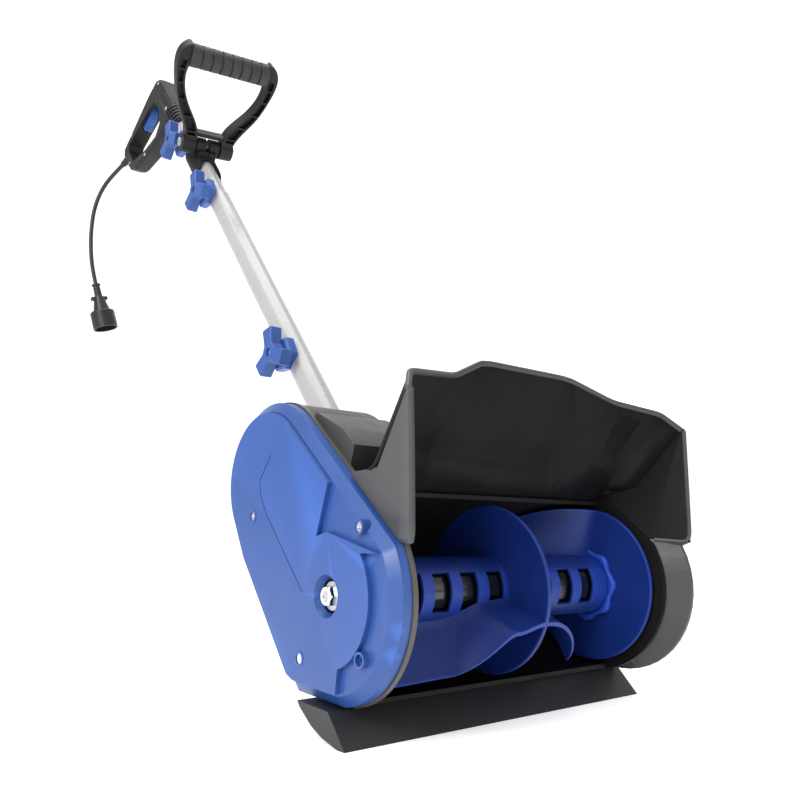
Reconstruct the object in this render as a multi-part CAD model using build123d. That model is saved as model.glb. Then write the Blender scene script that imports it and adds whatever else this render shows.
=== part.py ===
from build123d import *
import math
import os

# Corded hand-held snow blower in its working pose, in millimetres.
# +X runs along the auger to the operator's left, -Y is the throwing side, +Z is up.
# The origin is the middle of the scraper's flat foot, on the ground.
# Everything is built about the auger's axle and moved to the origin when it is written.
AXLE_Y = 25.0
AXLE_Z = 101.0

# Scoop
WALL = 3.5
PLATE_IN = 143.0
PLATE_OUT = 147.0
TROUGH_IN = 74.5
TROUGH_OUT = 78.0
RIM_X = 163.0
RIM_SHIFT = (0.0, 2.9, 2.1)
SKIRT_SPREAD = 20.0

# Auger
AUGER_R = 70.0
DISC_X = 138.0
DISC_T = 3.0
CAGE_OUT = 27.0
CAGE_IN = 24.0
CORE_OUT = 22.0
CORE_IN = 19.0
AUGER_SHAFT_R = 6.0
RUNNING_GAP = 0.05
BLADE_T = 3.0
BLADE_STEP = 7.0
LEFT_BLADE = [(-138.0, -66.0), (-75.0, -60.0), (-30.0, -26.0), (0.0, -21.0)]
RIGHT_BLADE = [(1.6, 160.0), (60.0, 122.0), (138.0, 80.0)]
TAIL_LENGTH = 60.0
TAIL_CURL = 39.0
RING_PITCH = 29.4
WINDOW_WIDTH = 17.5
WINDOWS = 4

# Belt drive
COVER_X = 165.0
COVER_RIM_X = 155.0
COVER_STEP_X = 161.0
COVER_WALL = 2.5
COVER_BEVEL = 8.0
COVER_FLOOR_X = -158.8
COVER_POSTS = [(-40.0, 49.0), (34.0, -47.0), (-42.0, -40.0), (112.0, 60.0)]
MOTOR_Y = 97.0
MOTOR_Z = 89.0
LOBE_R = 67.0
FRONT_R = 77.0
AUGER_PULLEY_R = 44.0
MOTOR_PULLEY_R = 11.0
BELT_T = 3.0
BELT_GAP = 0.3
BELT_X0 = -157.0
BELT_X1 = -150.4
MOTOR_SHAFT_R = 4.9
HOUSING_END_X = -70.0
DOME_END_X = -35.0
FLANGE = 1.1
SHAFT_END = -158.1

# Shaft: lengths along the tube are measured from TUBE_START, upwards
TUBE_ELEVATION = 50.7
TUBE_START = (0.0, 264.0, 198.0)
MAIN_R = 16.0
INNER_R = 14.3
TUBE_WALL = 1.5
MAIN_FROM = -250.0
MAIN_TO = 455.0
UPPER_FROM = 300.0
UPPER_TO = 790.0
STUB_FROM = -250.0
STUB_TO = 130.0
KNOB_AT = (81.0, 462.0, 622.0)
KNOB_FACE_X = (-42.0, -41.0, -45.0)
KNOB_T = 15.0
BOLT_R = 3.0
SEAT_X = -25.6
SEAT_R = 22.0

# Front handle
CLAMP_AT = 568.0
HINGE_OUT = 27.6
HINGE_R = 3.5
HANDLE_YAW = 6.5
GRIP_REACH = 138.0
GRIP_HALF = 60.0
GRIP_R = 15.0
ARM_HALF = 9.5
WEB_HALF = 2.5

# Rear handle
REAR_HALF = 14.0
NECK_FROM = 688.0
LOOP_OUTER = [
    (736, 19), (833, 19), (862, 8), (875, -32), (887, -96), (899, -158),
    (884, -169), (836, -167), (806, -150), (770, -98), (744, -46), (736, -19),
]
LOOP_INNER = [
    (798, -22), (832, -23), (846, -46), (864, -96), (878, -138),
    (870, -146), (828, -146), (791, -104), (764, -60), (768, -34),
]
TRIGGER_PIVOT = (862, -42)
TRIGGER_ROOM = [(834, -33), (872, -33), (880, -95), (846, -95)]
SWITCH_ROOM = [(866, -48), (874, -48), (882, -88), (875, -88)]
LOCK_AT = (850, 2)

# Cord
CORD_R = 3.75
CORD_ROUTE = [
    (0.0, 954.8, 781.4),
    (-18.0, 993.0, 756.0),
    (-32.2, 1016.6, 726.6),
    (-41.3, 1025.8, 686.1),
    (-42.5, 1030.4, 640.1),
    (-39.7, 1030.8, 598.4),
    (-34.8, 1028.6, 563.1),
    (-27.5, 1025.8, 534.4),
]
RELIEF_LENGTH = 30.0
RELIEF_R = 7.0
PLUG_NECK = 27.0
PLUG_BODY = 29.0
PLUG_SHROUD = 35.0
PLUG_R = 22.5

RISE = math.radians(TUBE_ELEVATION)
TUBE_DIR = (0.0, math.cos(RISE), math.sin(RISE))
TUBE = Plane(origin=TUBE_START, x_dir=(1, 0, 0), z_dir=TUBE_DIR)
TUBE_SIDE = Plane(origin=TUBE_START, x_dir=TUBE_DIR, z_dir=(1, 0, 0))
SIDE = Plane.YZ


# ---------- helpers ----------

def rod_x(y, z, radius, x0, x1):
    """A cylinder along X, centred on (y, z)."""
    return SIDE * Pos(y, z, (x0 + x1) / 2) * Cylinder(radius, abs(x1 - x0))


def ring_x(y, z, outer, inner, x0, x1):
    return rod_x(y, z, outer, x0, x1) - rod_x(y, z, inner, min(x0, x1) - 1, max(x0, x1) + 1)


def rod_s(radius, s0, s1, x=0.0, y=0.0):
    """A cylinder along the tube, offset by x and y in the tube's own frame."""
    return TUBE * Pos(x, y, (s0 + s1) / 2) * Cylinder(radius, abs(s1 - s0))


def tube_s(outer, inner, s0, s1):
    return rod_s(outer, s0, s1) - rod_s(inner, s0 - 1, s1 + 1)


def block(x0, x1, y0, y1, z0, z1):
    return Pos((x0 + x1) / 2, (y0 + y1) / 2, (z0 + z1) / 2) * Box(x1 - x0, y1 - y0, z1 - z0)


def prism_x(points, x0, x1, plane=SIDE):
    """A straight-sided outline in the plane, extruded from x0 to x1."""
    face = make_face(Polyline(*points, close=True))
    return extrude(plane.offset(x0) * face, amount=x1 - x0)


def polar(radius, degrees, y=0.0, z=0.0):
    """A point round (y, z): 0 is the front, 90 is up."""
    angle = math.radians(degrees)
    return (y - radius * math.cos(angle), z + radius * math.sin(angle))


def sheet(grid, shift):
    """A thin closed solid: a grid of points and the same grid moved by shift."""
    front = [[Vector(*p) for p in row] for row in grid]
    back = [[p + Vector(*shift) for p in row] for row in front]
    rows = len(front)
    cols = len(front[0])
    triangles = []
    for layer in (front, back):
        for i in range(rows - 1):
            for j in range(cols - 1):
                a, b = layer[i][j], layer[i][j + 1]
                c, d = layer[i + 1][j + 1], layer[i + 1][j]
                triangles += [(a, b, c), (a, c, d)]
    rim = [(0, j) for j in range(cols)]
    rim += [(i, cols - 1) for i in range(1, rows)]
    rim += [(rows - 1, j) for j in range(cols - 2, -1, -1)]
    rim += [(i, 0) for i in range(rows - 2, 0, -1)]
    for k in range(len(rim)):
        i, j = rim[k]
        m, n = rim[(k + 1) % len(rim)]
        triangles += [
            (front[i][j], front[m][n], back[m][n]),
            (front[i][j], back[m][n], back[i][j]),
        ]
    faces = [Face(Wire.make_polygon(list(t), close=True)) for t in triangles]
    return Solid(Shell(faces))


def side_outline(grow=0.0):
    """The belt cover's outline: front circle, straight top edge, motor lobe and straight back."""
    radius = FRONT_R + grow
    lobe = LOBE_R + grow
    start = polar(radius, 28.5)
    top = polar(lobe, 50.0, MOTOR_Y, MOTOR_Z)
    crown = polar(lobe, 120.0, MOTOR_Y, MOTOR_Z)
    back = polar(lobe, 208.0, MOTOR_Y, MOTOR_Z)
    waist = (136.0 + grow, 26.0)
    heel = (62.0 + grow, -60.0)
    toe = (49.0 + grow * 0.6, -73.0 - grow)
    low = polar(radius, -80.5)
    nose = polar(radius, -25.0)
    edges = [
        Line(start, top),
        ThreePointArc(top, crown, back),
        Line(back, waist),
        Line(waist, heel),
        Line(heel, toe),
        Line(toe, low),
        ThreePointArc(low, nose, start),
    ]
    return make_face(edges)


def outline_prism(grow, x0, x1):
    return extrude(SIDE.offset(x0) * side_outline(grow), amount=x1 - x0)


# ---------- scoop ----------

def scoop_trough():
    shell = ring_x(0, 0, TROUGH_OUT, TROUGH_IN, -PLATE_IN, PLATE_IN)
    half = block(-PLATE_IN, PLATE_IN, -11.0, 90.0, -90.0, 90.0)
    lip = block(-PLATE_IN, PLATE_IN, -12.0, 0.0, -90.0, 0.0)
    return shell & (half + lip)


def hood_back():
    """Faceted sheet from the trough's top edge to the rim; the middle is raised and deeper."""
    low = (-6.0, 78.2)
    rows = [
        [(-RIM_X, -93.0, 139.0), (-155.0, -46.0, 90.0), (-PLATE_OUT, -9.0, 87.5)],
        [(-152.0, -82.0, 154.0), (-140.0, -30.0, 98.0), (-137.0, *low)],
        [(-84.0, -55.0, 164.0), (-92.0, -20.0, 112.0), (-90.0, *low)],
        [(-53.0, -55.0, 179.0), (-70.0, -8.0, 114.0), (-72.0, *low)],
        [(52.0, -55.0, 179.0), (72.0, -12.0, 108.0), (74.0, *low)],
        [(115.0, -56.0, 165.0), (98.0, -36.0, 108.0), (96.0, *low)],
        [(150.0, -82.0, 154.0), (140.0, -30.0, 97.0), (137.0, *low)],
        [(RIM_X, -95.0, 139.0), (152.0, -48.0, 88.0), (PLATE_OUT, -9.0, 87.5)],
    ]
    return sheet(rows, RIM_SHIFT)


def hood_cheek(side):
    """Flared side panel between the hood's end, the side plate's top edge and the front."""
    upper = [(RIM_X - 0.5, -95.5, 141.5), (152.0, -48.5, 90.5), (PLATE_OUT + 0.1, -10.0, 90.0)]
    lower = [(RIM_X - 2.0, -95.0, 38.0), (PLATE_OUT + 0.1, -64.0, 41.0), (PLATE_OUT + 0.1, -12.0, 85.5)]
    rows = [[(side * x, y, z) for x, y, z in line] for line in (upper, lower)]
    return sheet(rows, (side * WALL, 0, 0)) - hood_back()


def side_plate_left():
    plate = outline_prism(1.5, -PLATE_OUT, -PLATE_IN)
    bore = rod_x(0, 0, 13.0, -160, -130)
    motor_port = rod_x(MOTOR_Y, MOTOR_Z, 16.0, -160, -130)
    return plate - bore - motor_port - hood_back()


def side_plate_right():
    plate = outline_prism(1.5, PLATE_IN, PLATE_OUT)
    keep = rod_x(0, 0, FRONT_R + 14.0, PLATE_IN - 1, PLATE_OUT + 1)
    bore = rod_x(0, 0, 13.0, 130, 160)
    return (plate & keep) - bore - hood_back()


def side_skirt_right():
    """Flared rim band round the front and bottom of the right side plate."""
    steps = 16
    rows = []
    rows.append([(PLATE_OUT + 0.05, -64.0, 40.7), (RIM_X - WALL, -94.5, 37.7)])
    for i in range(steps + 1):
        degrees = 22.0 - i * (22.0 + 84.0) / steps
        spread = SKIRT_SPREAD * max(0.0, math.cos(math.radians(degrees)))
        inner = polar(FRONT_R - 3.0, degrees)
        outer = polar(FRONT_R - 1.0 + spread, degrees)
        rows.append([(PLATE_OUT + 0.05, *inner), (RIM_X - WALL, *outer)])
    return sheet(rows, (WALL, 0.0, 0.0))


def scraper_bar():
    profile = [
        (-29.0, -101.0), (-20.0, -101.0), (0.0, -96.2), (13.5, -90.5), (29.0, -80.0),
        (44.0, -62.0), (34.0, -56.0), (17.0, -74.0), (-8.0, -78.0),
    ]
    bar = prism_x(profile, -167.0, 167.0)
    bar = bar - rod_x(0, 0, TROUGH_OUT + 0.3, -PLATE_OUT - 0.3, PLATE_OUT + 0.3)
    bar = bar - outline_prism(2.0, -170.0, -PLATE_IN)
    return bar - outline_prism(2.0, PLATE_IN, 170.0)


def scraper_screws():
    screws = []
    for x in (-120.0, -40.0, 40.0, 120.0):
        head = Pos(x, 20.0, -87.0) * Rot(-32.0, 0, 0) * Cylinder(4.0, 6.0)
        screws.append(head - scraper_bar())
    return screws


# ---------- auger ----------

def angle_on(path, x):
    """Paddle angle at x, easing between the path's (x, angle) stations."""
    for (x0, a0), (x1, a1) in zip(path, path[1:]):
        if x <= x1:
            break
    t = (x - x0) / (x1 - x0)
    return a0 + (a1 - a0) * t * t * (3 - 2 * t)


def tail_angle(x):
    """The left paddle's tail curls down past the middle disc."""
    return LEFT_BLADE[-1][1] - TAIL_CURL * (x / TAIL_LENGTH) ** 2.6


def blade(x_from, x_to, angle_at, inner):
    """A paddle: radial strips at several stations along X, joined by ruled faces."""
    stations = round((x_to - x_from) / BLADE_STEP)
    faces = []
    for i in range(stations + 1):
        x = x_from + (x_to - x_from) * i / stations
        strip = Pos((inner + AUGER_R) / 2, 0) * Rectangle(AUGER_R - inner, BLADE_T)
        faces.append(SIDE.offset(x) * Rot(0, 0, 180.0 - angle_at(x)) * strip)
    return loft(faces, ruled=True)


def cage(x_from, x_to, side):
    """Blue tube with pairs of windows round the black core."""
    tube = ring_x(0, 0, CAGE_OUT, CAGE_IN, x_from, x_to)
    for i in range(WINDOWS):
        x = side * RING_PITCH * (i + 0.5)
        tube -= Pos(x, 0, 0) * Box(WINDOW_WIDTH, 4 * CAGE_OUT, 1.3 * CAGE_IN)
    return tube


def end_disc(x):
    return ring_x(0, 0, AUGER_R, CAGE_IN, x - DISC_T / 2, x + DISC_T / 2)


def auger_left_half():
    root = CAGE_IN + 1.5
    body = cage(-DISC_X, 0.0, -1) + end_disc(-DISC_X) + end_disc(0.0)
    body += blade(-DISC_X, 0.0, lambda x: angle_on(LEFT_BLADE, x), root)
    return body + blade(0.0, TAIL_LENGTH, tail_angle, CAGE_OUT + 0.6)


def auger_right_half():
    start = DISC_T / 2 + 0.1
    body = cage(start, DISC_X, 1) + end_disc(DISC_X)
    return body + blade(start, DISC_X, lambda x: angle_on(RIGHT_BLADE, x), CAGE_IN + 1.5)


def auger_core():
    core = rod_x(0, 0, CORE_OUT, -137.0, 137.0)
    core -= rod_x(0, 0, CORE_IN, -130.0, 130.0)
    core -= rod_x(0, 0, AUGER_SHAFT_R, -140.0, 140.0)
    for side in (-1, 1):
        core += ring_x(0, 0, CAGE_IN, CORE_OUT - 1, side * 130.0, side * 137.0)
    return core


def auger_shaft():
    return rod_x(0, 0, AUGER_SHAFT_R, SHAFT_END, 149.0) + rod_x(0, 0, 4.0, SHAFT_END - 6.0, SHAFT_END)


def bearing(side):
    return ring_x(0, 0, 13.0, AUGER_SHAFT_R + RUNNING_GAP, side * 147.0, side * 141.0)


def bearing_cap():
    cap = rod_x(0, 0, 21.0, PLATE_OUT, PLATE_OUT + 8.0)
    cap = fillet(cap.edges().filter_by(GeomType.CIRCLE).sort_by(Axis.X)[-1:], 3.0)
    return cap - rod_x(0, 0, 9.0, PLATE_OUT - 1, PLATE_OUT + 4.0)


def v_pulley(y, z, radius, x0, x1, bore):
    wheel = rod_x(y, z, radius, x0, x1)
    for x in (x0, x1 - FLANGE + BELT_GAP):
        wheel += rod_x(y, z, radius + 2.0, x, x + FLANGE - BELT_GAP)
    return wheel - rod_x(y, z, bore, x0 - 1, x1 + 1)


def auger_pulley():
    wheel = v_pulley(0, 0, AUGER_PULLEY_R, BELT_X0 - FLANGE, BELT_X1 + FLANGE, AUGER_SHAFT_R)
    for i in range(5):
        y, z = polar(26.0, 72.0 * i)
        wheel -= rod_x(y, z, 8.0, -170, -140)
    return wheel


def auger_nut():
    """Hexagon nut with a turned crown, on the threaded end of the shaft."""
    face = RegularPolygon(7.6, 6)
    nut = extrude(SIDE.offset(SHAFT_END - 1.2) * face, amount=-5.6)
    nut &= rod_x(0, 0, 7.6, -170.0, SHAFT_END - 1.0) & SIDE * Pos(0, 0, SHAFT_END - 1.2) * Sphere(8.6)
    return nut - rod_x(0, 0, 4.0, -170.0, -150.0)


def auger_washer():
    return ring_x(0, 0, 10.5, 4.0, SHAFT_END - 1.2, SHAFT_END)


# ---------- belt side ----------

def cover_raised():
    """The cover's raised face: the outline less a front crescent and a wedge-shaped pocket."""
    face = extrude(SIDE.offset(-COVER_X) * side_outline(-9.5), amount=COVER_X - COVER_STEP_X)
    crescent = rod_x(0, 0, 90.0, -170.0, -140.0) - rod_x(0, 0, 51.5, -171.0, -139.0)
    front = prism_x([(-100, 31), (-42, 31), (-18, -36), (-8, -100), (-100, -100)], -170.0, -140.0)
    pocket = prism_x([(14, 43), (0, 46), (-60, 31), (-70, 50), (-6, 98)], -170.0, -140.0)
    return face - (crescent & front) - pocket


def belt_cover():
    lower = outline_prism(0.0, -COVER_RIM_X, -PLATE_OUT - 0.2)
    rim = SIDE.offset(-COVER_RIM_X) * side_outline(0.0)
    top = SIDE.offset(-COVER_STEP_X) * side_outline(-COVER_BEVEL)
    solid = lower + loft([rim, top], ruled=True) + cover_raised()
    posts = [rod_x(y, z, 5.6, -COVER_X - 0.5, -PLATE_OUT - 0.2) for y, z in COVER_POSTS]
    hollow = outline_prism(-COVER_WALL, -COVER_RIM_X + 0.6, -PLATE_OUT + 1.0)
    hollow += outline_prism(-COVER_BEVEL - 2.0, COVER_FLOOR_X, -PLATE_OUT + 1.0)
    for post in posts:
        hollow -= post
        solid += post
    solid -= hollow
    dish = SIDE * Pos(0, 0, -COVER_X + 2.6) * Cone(12.6, 15.5, 5.4, rotation=(180, 0, 0))
    solid -= dish + rod_x(0, 0, 12.6, -COVER_X - 1.0, -140.0)
    for y, z in COVER_POSTS:
        solid -= rod_x(y, z, 4.0, -170.0, -COVER_X + 2.5) + rod_x(y, z, 2.0, -170.0, -140.0)
    return solid - cover_groove()


def cover_groove():
    """Fine parting groove across the raised face."""
    path = [(85.0, 110.0), (102.0, 89.0), (99.0, 76.0), (88.0, 60.0), (32.0, 2.0)]
    groove = None
    for (y0, z0), (y1, z1) in zip(path, path[1:]):
        length = math.hypot(y1 - y0, z1 - z0)
        turn = math.degrees(math.atan2(z1 - z0, y1 - y0))
        bar = Pos((y0 + y1) / 2, (z0 + z1) / 2, 0) * Rot(0, 0, turn) * Box(length, 0.9, 1.6)
        groove = bar if groove is None else groove + bar
    return SIDE.offset(-COVER_X) * groove


def cover_screws():
    """Cross-recess screws in the posts; one post is left empty."""
    screws = []
    for y, z in COVER_POSTS[:2] + COVER_POSTS[3:]:
        face = -COVER_X + 0.3
        head = rod_x(y, z, 3.8, face, -COVER_X + 2.5)
        head -= block(face - 1.0, face + 1.0, y - 2.2, y + 2.2, z - 0.5, z + 0.5)
        head -= block(face - 1.0, face + 1.0, y - 0.5, y + 0.5, z - 2.2, z + 2.2)
        screws.append(head + rod_x(y, z, 2.0, -COVER_X + 2.5, -PLATE_OUT - 0.5))
    return screws


def drive_belt():
    """A flat loop round both pulleys, clear of them by a hair."""
    def loop(extra):
        big = AUGER_PULLEY_R + BELT_GAP + extra
        small = MOTOR_PULLEY_R + BELT_GAP + extra
        span = math.hypot(MOTOR_Y, MOTOR_Z)
        lean = math.degrees(math.asin((big - small) / span))
        along = math.degrees(math.atan2(MOTOR_Z, MOTOR_Y))
        corners = []
        for sign in (1, -1):
            turn = math.radians(along + sign * (90.0 - lean))
            unit = (math.cos(turn), math.sin(turn))
            corners.append((big * unit[0], big * unit[1]))
            corners.append((MOTOR_Y + small * unit[0], MOTOR_Z + small * unit[1]))
        quad = [corners[0], corners[1], corners[3], corners[2]]
        flat = make_face(Polyline(*quad, close=True))
        flat += Circle(big)
        flat += Pos(MOTOR_Y, MOTOR_Z) * Circle(small)
        return flat
    band = loop(BELT_T) - loop(0.0)
    return extrude(SIDE.offset(BELT_X0) * band, amount=BELT_X1 - BELT_X0)


def motor_housing():
    """Grey shoulder behind the side plate, with a flatter roof towards the hood."""
    roof = [(50.0, 144.0), (12.0, 126.0), (-3.0, 112.0), (6.0, 84.0), (60.0, 60.0), (110.0, 100.0)]
    back = block(-150.0, -60.0, 8.0, 170.0, 16.0, 160.0)
    outer = (outline_prism(0.5, -PLATE_IN, HOUSING_END_X) & back)
    outer += prism_x(roof, -PLATE_IN, HOUSING_END_X)
    inner = outline_prism(-2.8, -PLATE_IN - 1.0, -60.0) & block(-150, -60, 11.0, 170, 19.0, 160)
    return outer - inner - rod_x(0, 0, TROUGH_OUT + 0.05, -150.0, -60.0) - hood_back()


def motor_end_cover():
    """Stepped blue dome with a ring of cooling slots."""
    dome = rod_x(MOTOR_Y, MOTOR_Z, 58.0, HOUSING_END_X, -52.0)
    dome += rod_x(MOTOR_Y, MOTOR_Z, 52.0, -52.0, DOME_END_X)
    rims = dome.edges().filter_by(GeomType.CIRCLE).filter_by(lambda e: e.center().X > -53.0)
    dome = fillet([e for e in rims if e.radius > 57.0 or e.center().X > -40.0], 5.0)
    dome -= rod_x(MOTOR_Y, MOTOR_Z, 54.0, HOUSING_END_X - 1.0, -62.0)
    dome -= rod_x(MOTOR_Y, MOTOR_Z, 42.0, -63.0, DOME_END_X - 4.0)
    for i in range(9):
        slot = Rot(40.0 * i, 0, 0) * Pos(DOME_END_X, 0.0, 26.0) * Box(16.0, 5.0, 24.0)
        dome -= Pos(0, MOTOR_Y, MOTOR_Z) * slot
    return dome - rod_x(0, 0, TROUGH_OUT + 0.05, -90.0, -20.0)


def motor_can():
    can = ring_x(MOTOR_Y, MOTOR_Z, 38.0, 34.0, -PLATE_IN, -70.5)
    for x in (-138.0, -73.5):
        can += ring_x(MOTOR_Y, MOTOR_Z, 38.0, MOTOR_SHAFT_R + RUNNING_GAP, x, x + 3.0)
    return can


def armature():
    """Slotted stack on the shaft with its commutator."""
    core = ring_x(MOTOR_Y, MOTOR_Z, 25.0, MOTOR_SHAFT_R, -125.0, -88.0)
    for i in range(12):
        slot = Rot(30.0 * i, 0, 0) * Pos(-106.5, 0.0, 24.0) * Box(50.0, 3.0, 6.0)
        core -= Pos(0, MOTOR_Y, MOTOR_Z) * slot
    return core + ring_x(MOTOR_Y, MOTOR_Z, 13.0, MOTOR_SHAFT_R, -88.0, -76.0)


def motor_shaft():
    return rod_x(MOTOR_Y, MOTOR_Z, MOTOR_SHAFT_R, BELT_X0 - FLANGE, -48.0)


def cooling_fan():
    fan = ring_x(MOTOR_Y, MOTOR_Z, 12.0, MOTOR_SHAFT_R, -66.0, -52.0)
    for i in range(9):
        vane = Rot(40.0 * i, 0, 0) * Pos(-58.0, 0.0, 22.0) * Rot(0, 0, 25) * Box(10.0, 2.0, 24.0)
        fan += Pos(0, MOTOR_Y, MOTOR_Z) * vane
    return fan


# ---------- shaft ----------

def tube_socket():
    """Sleeve for the stub tube, webs and a curved flange on the trough's back."""
    sleeve = rod_s(24.0, -262.0, -120.0)
    web = prism_x([(60, -40), (96, -24), (190, 92), (172, 120), (56, 60)], -9.0, 9.0)
    flange = ring_x(0, 0, TROUGH_OUT + 6.0, TROUGH_OUT, -52.0, 52.0)
    flange = flange & block(-52.0, 52.0, 48.0, 90.0, -58.0, 62.0)
    body = sleeve + web + flange
    body -= rod_x(0, 0, TROUGH_OUT, -60.0, 60.0)
    body -= rod_s(MAIN_R, -251.0, -110.0)
    body -= rod_x(MOTOR_Y, MOTOR_Z, 58.3, -75.0, -30.0)
    return body


def socket_screws():
    """Round heads on the flange's outer face."""
    screws = []
    for x, degrees in ((-42.0, 205.0), (42.0, 150.0), (42.0, 205.0)):
        head = Cylinder(4.5, 4.0) - Pos(0, 0, 1.5) * Box(6.0, 1.2, 1.4)
        turn = Rot(90.0 - degrees, 0, 0)
        screws.append(Pos(x, *polar(TROUGH_OUT + 8.0, degrees)) * turn * head)
    return screws


def star_face():
    """Three chunky lobes round a hub."""
    face = Circle(12.5)
    for i in range(3):
        face += Rot(0, 0, 120.0 * i + 30.0) * Pos(18.5, 0) * Trapezoid(21.0, 25.0, 84.0, rotation=90.0)
    return face


def rod_at(at, radius, x0, x1):
    return TUBE_SIDE * Pos(at, 0, (x0 + x1) / 2) * Cylinder(radius, abs(x1 - x0))


def knob(at, face_x):
    """Star knob facing -X, with a hub behind it and a socket for its bolt's head."""
    star = extrude(star_face(), amount=KNOB_T)
    star = fillet(star.edges().filter_by(Axis.Z), 3.0)
    star = chamfer(star.faces().sort_by(Axis.Z)[0].edges(), 1.2)
    hub = SEAT_X - 0.4 - face_x
    star += Pos(0, 0, hub / 2) * Cylinder(9.0, hub)
    star -= Cylinder(5.0, 12.0) + Cylinder(BOLT_R, 100.0)
    return TUBE_SIDE * Pos(at, 0, face_x) * star


def knob_bolt(at, face_x, x_end):
    """Bolt fixed in the knob; its domed head sits down in the hub."""
    head = rod_at(at, 4.2, face_x + 2.5, face_x + 6.0)
    head = fillet(head.edges().filter_by(GeomType.CIRCLE).sort_by(Axis.X)[:1], 1.5)
    return head + rod_at(at, BOLT_R, face_x + 6.0, x_end)


def knob_seat(at, tube_r):
    """Six-sided pad that fits the tube's side."""
    face = Pos(at, 0) * RegularPolygon(SEAT_R, 6, rotation=10.0)
    seat = extrude(TUBE_SIDE.offset(SEAT_X) * face, amount=12.0)
    rim = seat.faces().sort_by(Axis.X)[0].edges()
    seat = chamfer(rim, 2.5) - rod_s(tube_r, at - 40.0, at + 40.0)
    return seat - rod_at(at, BOLT_R + RUNNING_GAP, -50.0, 0.0)


def main_tube():
    tube = tube_s(MAIN_R, MAIN_R - TUBE_WALL, MAIN_FROM, MAIN_TO)
    for at in KNOB_AT[:2]:
        tube -= rod_at(at, BOLT_R + RUNNING_GAP, -20.0, 0.0)
    return tube


def upper_tube():
    tube = tube_s(INNER_R, INNER_R - TUBE_WALL, UPPER_FROM, UPPER_TO)
    return tube - rod_at(KNOB_AT[2], BOLT_R + RUNNING_GAP, -20.0, 0.0)


def stub_tube():
    tube = tube_s(INNER_R, INNER_R - TUBE_WALL, STUB_FROM, STUB_TO)
    return tube - rod_at(KNOB_AT[0], BOLT_R + RUNNING_GAP, -20.0, 0.0)


# ---------- front handle ----------

def handle_place():
    """Frame of the front handle: X along its hinge, Y away from it back to the tube."""
    return TUBE.location * Pos(0, 0, CLAMP_AT) * Rot(0, 0, -HANDLE_YAW)


def handle_clamp():
    """Collar on the tube with an arched lower edge, and the barrel that carries the hinge."""
    ring = Pos(0, 0, -15.0) * Cylinder(20.0, 76.0)
    barrel = Pos(0, -HINGE_OUT, 0) * Rot(0, 90, 0) * Cylinder(13.0, 36.0)
    neck = Pos(0, -18.0, -2.0) * Box(26.0, 18.0, 34.0)
    body = ring + barrel + neck
    arch = make_face(Polyline((-24, -54), (24, -54), (7, -26), (0, -22), (-7, -26), close=True))
    body -= extrude(Plane.XZ * arch, amount=40.0)
    body -= Cylinder(INNER_R, 160.0)
    body -= Pos(0, -HINGE_OUT, 0) * Rot(0, 90, 0) * Cylinder(HINGE_R, 60.0)
    body -= Pos(0, -34.0, 0) * Box(6.0, 18.0, 60.0)
    return handle_place() * body


def handle_half_outline():
    """Right half of the front handle's frame: x along the hinge, y away from the tube."""
    outer = Spline((38, -6), (42, 26), (60, 60), (73.5, 100), (74, 141), (64, 152))
    inner = Spline((20, 14), (27, 36), (46, 64), (59.5, 94), (60.5, 120))
    edges = [
        outer,
        Line((64, 152), (0, 146)),
        Line((0, 146), (0, 120)),
        Line((0, 120), (60.5, 120)),
        inner,
        Line((20, 14), (20, -6)),
        Line((20, -6), (38, -6)),
    ]
    return make_face(edges)


def handle_pocket():
    """The hollow between an arm's two flanges."""
    outer = Spline((37.6, 18), (39.4, 27), (57.6, 61.4), (70.9, 100.4), (72.2, 128))
    inner = Spline((24.4, 18), (29.8, 35), (48.4, 62.4), (62.2, 92.8), (63.4, 128))
    sides = [outer, inner, Line((72.2, 128), (63.4, 128)), Line((24.4, 18), (37.6, 18))]
    return make_face(sides)


def handle_frame():
    """Two I-section arms with hinge bosses, corner blocks and a rod through the grip."""
    half = extrude(handle_half_outline(), amount=ARM_HALF, both=True)
    ribs = Pos(50, 24, 0) * Box(80, 2.2, 30)
    for y in (46.0, 70.0, 94.0, 114.0):
        ribs += Pos(50, y, 0) * Box(80, 2.2, 30)
    cut = extrude(handle_pocket(), amount=ARM_HALF + 1.0, both=True)
    cut -= Box(200.0, 400.0, 2 * WEB_HALF)
    half -= cut - ribs
    half -= Pos(0, 133, 0) * Box(2 * GRIP_HALF, 60.0, 60.0)
    arm = half + Pos(30.3, 0, 0) * Rot(0, 90, 0) * Cylinder(14.0, 20.0)
    arm -= Rot(0, 90, 0) * Cylinder(HINGE_R + RUNNING_GAP, 100.0)
    bar = Pos(0, GRIP_REACH - 4.0, 0) * Rot(0, 90, 0) * Cylinder(7.0, 2 * GRIP_HALF + 8.0)
    cross = Pos(0, 21.0, 0) * Box(50.0, 6.0, 16.0)
    frame = arm + mirror(arm, about=Plane.YZ) + bar + cross
    turned = Pos(0, -HINGE_OUT, 0) * Rot(0, 0, 180) * frame
    return handle_place() * turned


def handle_grip():
    """Ribbed grip sleeve round the frame's rod."""
    grip = Cylinder(GRIP_R + 1.5, 2 * GRIP_HALF - 0.4)
    for i in range(7):
        groove = Cylinder(GRIP_R + 3.0, 3.0) - Cylinder(GRIP_R - 1.0, 4.0)
        grip -= Pos(0, 0, (i - 3) * 15.0) * groove
    grip -= Cylinder(7.0, 200.0)
    turned = Pos(0, -HINGE_OUT - GRIP_REACH + 4.0, 0) * Rot(0, 90, 0) * grip
    return handle_place() * turned


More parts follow.
